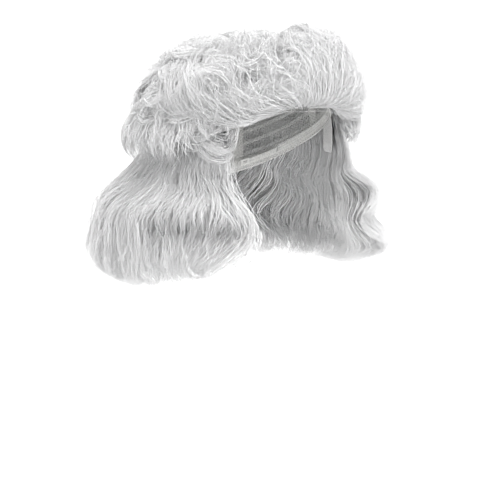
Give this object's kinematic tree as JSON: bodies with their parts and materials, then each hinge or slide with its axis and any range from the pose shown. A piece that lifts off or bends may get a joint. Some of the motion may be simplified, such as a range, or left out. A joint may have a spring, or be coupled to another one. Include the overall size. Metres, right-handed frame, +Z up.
{
  "type": "costume wig",
  "caption": "Puffy curled white costume wig with a rolled front, a stepped crown and full hanging sides, on an elastic cap.",
  "frame": {"origin": "centre of the wearer's head at its widest level, on the cap's axis", "axes": "+Z up, the wig faces -Y, +X is the wearer's left"},
  "size_m": [0.3182, 0.3151, 0.275],
  "materials": {
    "hair": "white modacrylic fibre, curled, with a soft shine",
    "net": "fine stretch net",
    "net_backing": "close-knit stretch fabric",
    "elastic": "woven elastic band",
    "ribbon": "ribbed elastic ribbon",
    "weft_track": "hair folded and sewn into a track",
    "label": "blank satin tape",
    "hook_plastic": "moulded nylon"
  },
  "bodies": {
    "cap": {"cap_net": "net", "crown_patch": "net_backing", "care_label": "label", "front_hairline_band": "elastic", "nape_band": "elastic", "front_ribbon": "ribbon", "centre_back_ribbon": "ribbon", "back_ribbon_left": "ribbon", "side_ribbon_left": "ribbon", "back_ribbon_right": "ribbon", "side_ribbon_right": "ribbon", "weft_1": "weft_track", "weft_2": "weft_track", "weft_3": "weft_track", "weft_4": "weft_track", "weft_5": "weft_track", "weft_6": "weft_track", "weft_7": "weft_track", "weft_8": "weft_track", "adjuster_strap_left": "elastic", "adjuster_loops_left": "elastic", "adjuster_strap_right": "elastic", "adjuster_loops_right": "elastic", "crown_curls": "hair", "upper_curls_back": "hair", "front_roll_centre": "hair", "upper_curls_left": "hair", "front_roll_left": "hair", "upper_curls_right": "hair", "front_roll_right": "hair"},
    "back_hair": {"back_waves": "hair", "back_curls": "hair"},
    "side_hair_left": {"side_waves_left": "hair", "side_curls_left": "hair"},
    "ear_tab_left": {"ear_tab_left": "elastic"},
    "adjuster_left": {"adjuster_hook_left": "hook_plastic"},
    "side_hair_right": {"side_waves_right": "hair", "side_curls_right": "hair"},
    "ear_tab_right": {"ear_tab_right": "elastic"},
    "adjuster_right": {"adjuster_hook_right": "hook_plastic"}
  },
  "joints": [
    {"name": "side_lift_left", "type": "hinge", "parent": "cap", "child": "side_hair_left", "pos_m": [0.106, 0, -0.018], "axis": [0, -1, 0], "range_deg": [0, 40]},
    {"name": "side_lift_right", "type": "hinge", "parent": "cap", "child": "side_hair_right", "pos_m": [-0.106, 0, -0.018], "axis": [0, 1, 0], "range_deg": [0, 40]},
    {"name": "back_lift", "type": "hinge", "parent": "cap", "child": "back_hair", "pos_m": [0, 0.11, -0.018], "axis": [1, 0, 0], "range_deg": [0, 25]},
    {"name": "ear_tab_fold_left", "type": "hinge", "parent": "cap", "child": "ear_tab_left", "pos_m": [0.08131, -0.03285, 0.0173], "axis": [0.3337, 0.826, -0.4543], "range_deg": [0, 28]},
    {"name": "ear_tab_fold_right", "type": "hinge", "parent": "cap", "child": "ear_tab_right", "pos_m": [-0.08131, -0.03285, 0.0173], "axis": [0.3337, -0.826, 0.4543], "range_deg": [0, 28]},
    {"name": "adjuster_slide_left", "type": "slide", "parent": "cap", "child": "adjuster_left", "axis": [-0.8309, 0.4875, -0.2681], "range_m": [0, 0.012], "stiffness_N_per_m": 30, "deforming": ["adjuster_strap_left"]},
    {"name": "adjuster_slide_right", "type": "slide", "parent": "cap", "child": "adjuster_right", "axis": [0.8309, 0.4875, -0.2681], "range_m": [0, 0.012], "stiffness_N_per_m": 30, "deforming": ["adjuster_strap_right"]}
  ]
}
